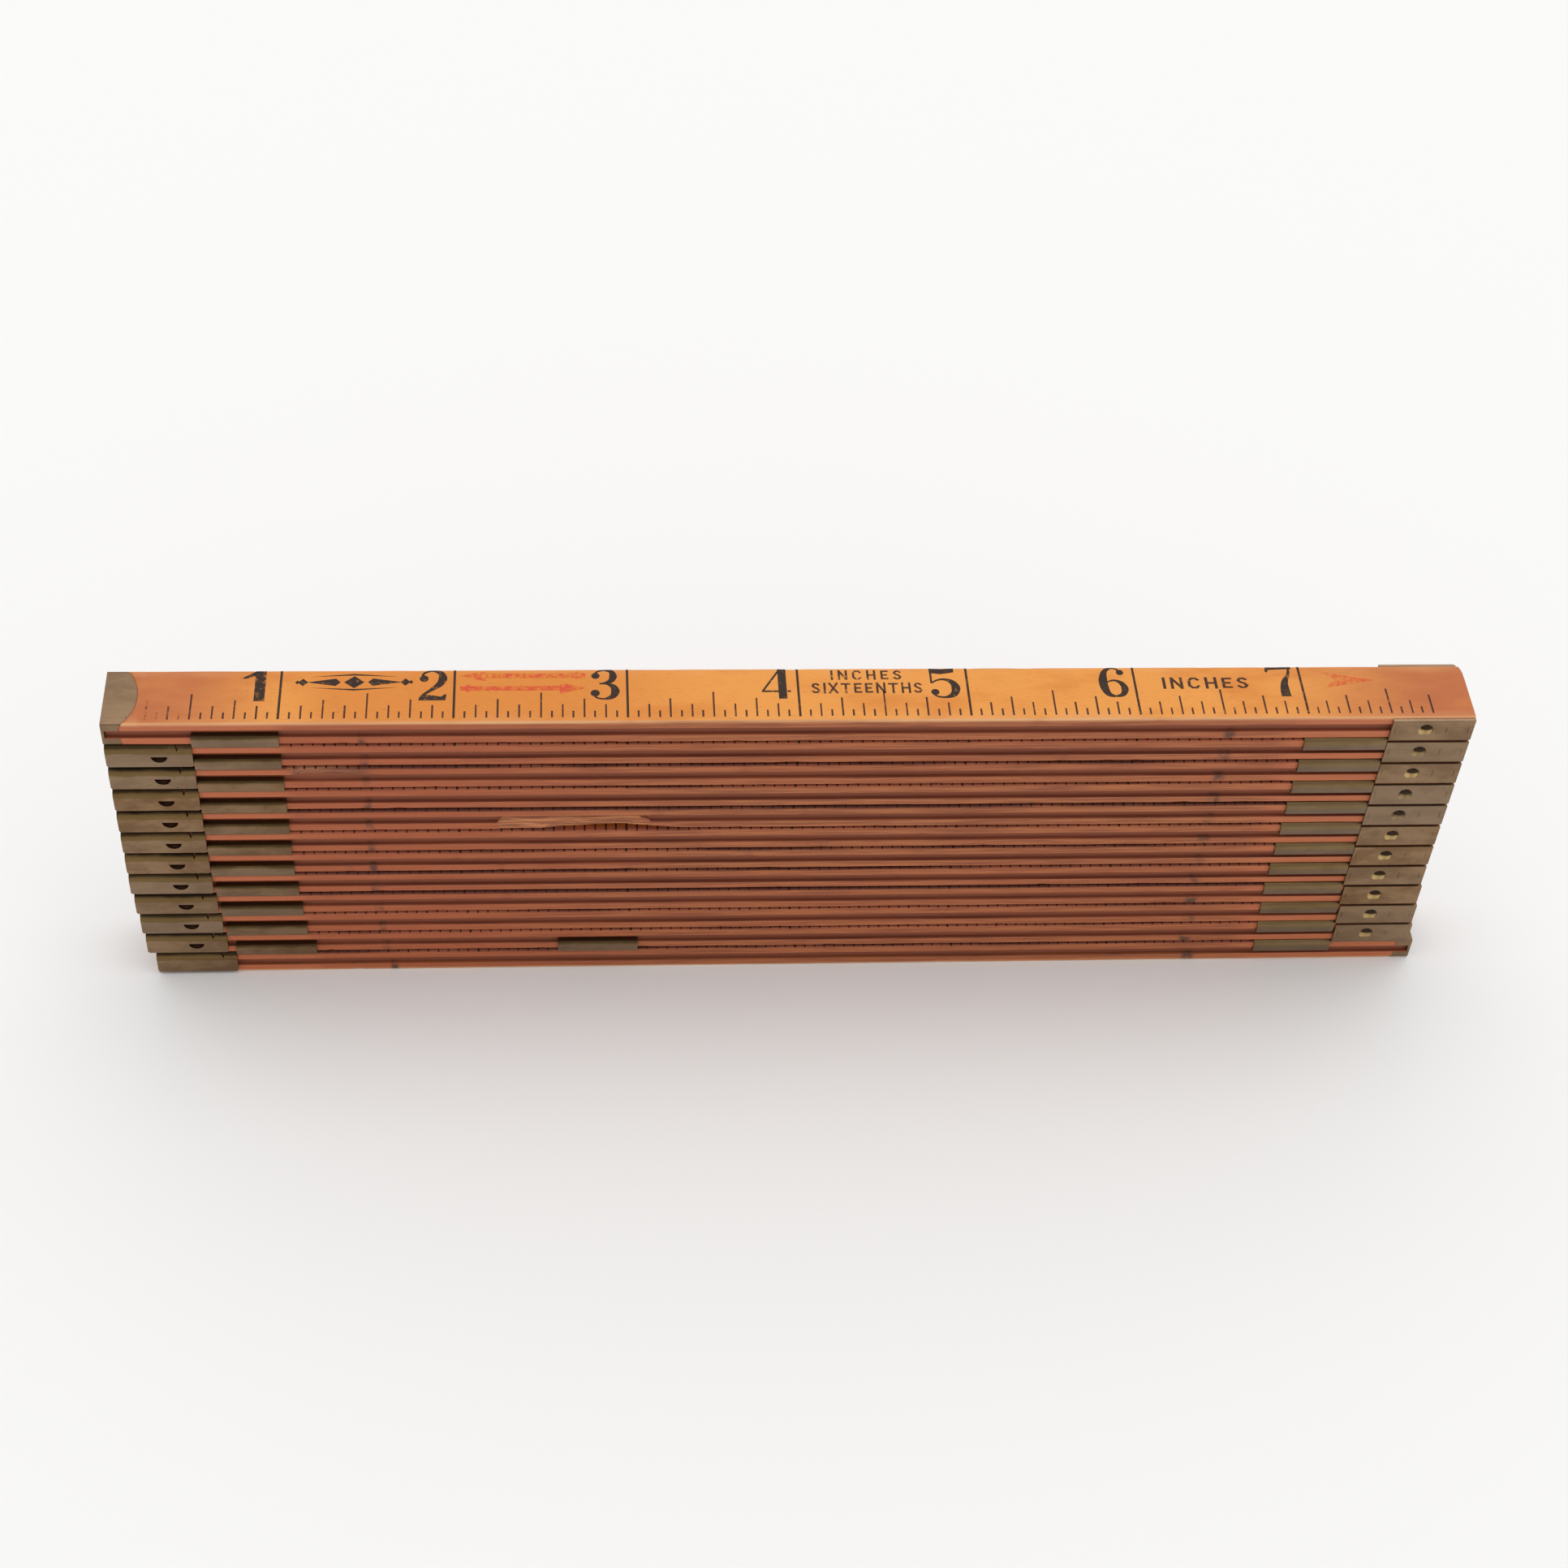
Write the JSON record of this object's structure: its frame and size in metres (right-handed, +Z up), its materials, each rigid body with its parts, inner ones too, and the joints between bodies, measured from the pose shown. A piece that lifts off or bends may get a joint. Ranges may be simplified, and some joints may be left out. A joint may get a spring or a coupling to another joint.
{
  "type": "sliding extension rule",
  "caption": "Slim wooden rule whose grooved slats lie stacked and slide out lengthwise on folded brass guides, with an inch scale on the top face.",
  "frame": {"origin": "middle of the underside of the bottom slat's footprint, under the centre of the closed rule's box", "axes": "+X along the rule towards the higher inches, +Y across it, away from the side with the short graduations, +Z up, out of the printed face"},
  "size_m": [0.2052, 0.012, 0.0571],
  "materials": {
    "wood": "varnished maple, amber on the printed face and red-brown on the edges, worn",
    "brass": "sheet brass with a dull olive-brown patina"
  },
  "bodies": {
    "section_01": {"slat_01": "wood", "right_fitting_01": "brass", "left_tip": "brass"},
    "section_02": {"slat_02": "wood", "left_fitting_02": "brass", "right_fitting_02": "brass"},
    "section_03": {"slat_03": "wood", "left_fitting_03": "brass", "right_fitting_03": "brass"},
    "section_04": {"slat_04": "wood", "left_fitting_04": "brass", "right_fitting_04": "brass"},
    "section_05": {"slat_05": "wood", "left_fitting_05": "brass", "right_fitting_05": "brass"},
    "section_06": {"slat_06": "wood", "left_fitting_06": "brass", "right_fitting_06": "brass"},
    "section_07": {"slat_07": "wood", "left_fitting_07": "brass", "right_fitting_07": "brass"},
    "section_08": {"slat_08": "wood", "left_fitting_08": "brass", "right_fitting_08": "brass"},
    "section_09": {"slat_09": "wood", "left_fitting_09": "brass", "right_fitting_09": "brass"},
    "section_10": {"slat_10": "wood", "left_fitting_10": "brass", "right_fitting_10": "brass"},
    "section_11": {"slat_11": "wood", "left_fitting_11": "brass", "right_fitting_11": "brass"},
    "section_12": {"slat_12": "wood", "left_fitting_12": "brass", "right_tip": "brass", "travel_stop": "brass", "stop_pins": "brass"}
  },
  "joints": [
    {"name": "slide_01", "type": "slide", "parent": "section_02", "child": "section_01", "axis": [-1, 0, 0], "range_m": [0, 0.1524]},
    {"name": "slide_02", "type": "slide", "parent": "section_03", "child": "section_02", "axis": [-1, 0, 0], "range_m": [0, 0.1524]},
    {"name": "slide_03", "type": "slide", "parent": "section_04", "child": "section_03", "axis": [-1, 0, 0], "range_m": [0, 0.1524]},
    {"name": "slide_04", "type": "slide", "parent": "section_05", "child": "section_04", "axis": [-1, 0, 0], "range_m": [0, 0.1524]},
    {"name": "slide_05", "type": "slide", "parent": "section_06", "child": "section_05", "axis": [-1, 0, 0], "range_m": [0, 0.1524]},
    {"name": "slide_06", "type": "slide", "parent": "section_07", "child": "section_06", "axis": [-1, 0, 0], "range_m": [0, 0.1524]},
    {"name": "slide_07", "type": "slide", "parent": "section_08", "child": "section_07", "axis": [-1, 0, 0], "range_m": [0, 0.1524]},
    {"name": "slide_08", "type": "slide", "parent": "section_09", "child": "section_08", "axis": [-1, 0, 0], "range_m": [-0.0003, 0.1521]},
    {"name": "slide_09", "type": "slide", "parent": "section_10", "child": "section_09", "axis": [-1, 0, 0], "range_m": [-0.0003, 0.1521]},
    {"name": "slide_10", "type": "slide", "parent": "section_11", "child": "section_10", "axis": [-1, 0, 0], "range_m": [-0.0003, 0.1521]},
    {"name": "slide_11", "type": "slide", "parent": "section_12", "child": "section_11", "axis": [-1, 0, 0], "range_m": [-0.0011, 0.1005]}
  ]
}
